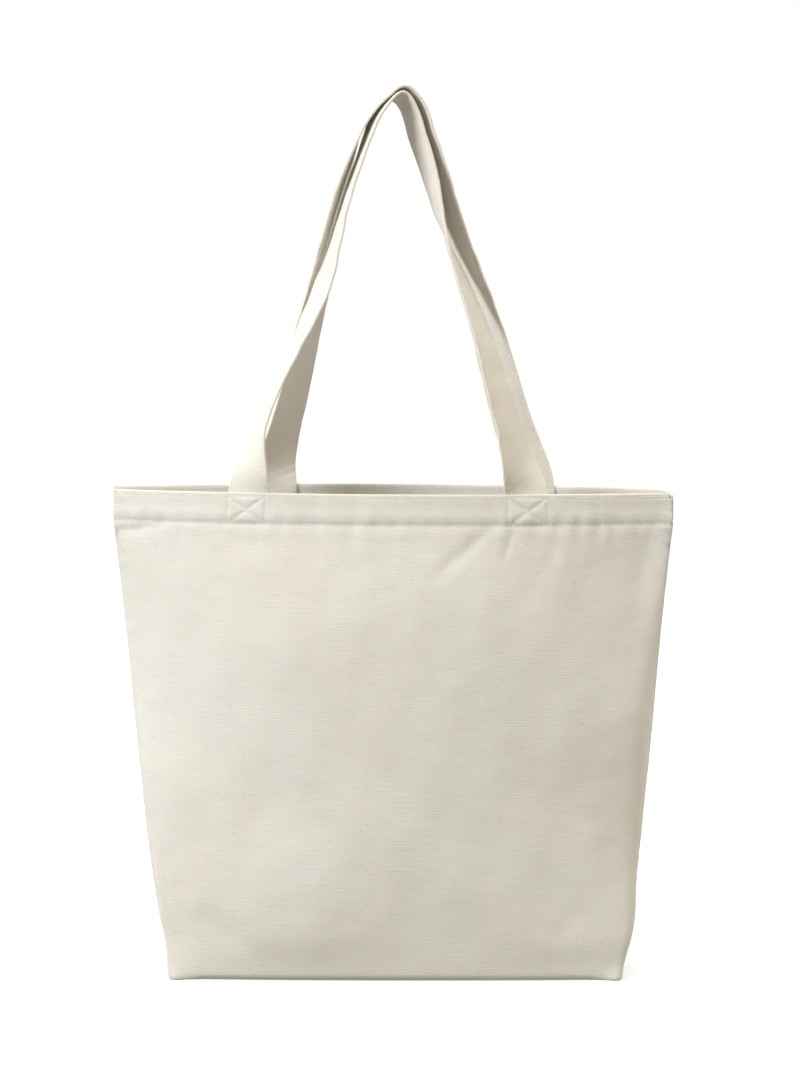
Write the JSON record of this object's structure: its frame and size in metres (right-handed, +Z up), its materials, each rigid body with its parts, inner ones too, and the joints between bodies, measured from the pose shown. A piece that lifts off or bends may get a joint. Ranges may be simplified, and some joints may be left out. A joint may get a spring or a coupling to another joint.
{
  "type": "canvas tote bag",
  "caption": "Open-topped natural canvas tote bag with a boxed base, a deep hem and twin flat carrying handles.",
  "frame": {"origin": "middle of the base, on the surface that the bag stands on", "axes": "+X across the bag to its right seen from the front, -Y out of the front panel, +Z up"},
  "size_m": [0.48, 0.108, 0.7531],
  "materials": {
    "canvas": "unbleached plain-weave cotton canvas, matt",
    "strap": "the same canvas folded in four and pressed flat",
    "thread": "unbleached cotton sewing thread"
  },
  "bodies": {
    "bag": {"front_panel": "canvas", "front_hem_stitch": "thread", "front_rim_stitch": "thread", "front_handle_end_left": "strap", "front_box_stitch_left": "thread", "front_handle_end_right": "strap", "front_box_stitch_right": "thread", "back_panel": "canvas", "back_hem_stitch": "thread", "back_rim_stitch": "thread", "back_handle_end_left": "strap", "back_box_stitch_left": "thread", "back_handle_end_right": "strap", "back_box_stitch_right": "thread", "side_seam_left": "thread", "corner_seam_left": "thread", "side_seam_right": "thread", "corner_seam_right": "thread", "bottom_seam": "thread"},
    "front_handle": {"front_handle": "strap", "front_handle_stitching": "thread"},
    "back_handle": {"back_handle": "strap", "back_handle_stitching": "thread"}
  },
  "joints": [
    {"name": "front_handle_swing", "type": "hinge", "parent": "bag", "child": "front_handle", "pos_m": [0, -0.0358, 0.412], "axis": [1, 0, 0], "range_deg": [0, 150]},
    {"name": "back_handle_swing", "type": "hinge", "parent": "bag", "child": "back_handle", "pos_m": [0, 0.0366, 0.412], "axis": [-1, 0, 0], "range_deg": [0, 150]}
  ]
}
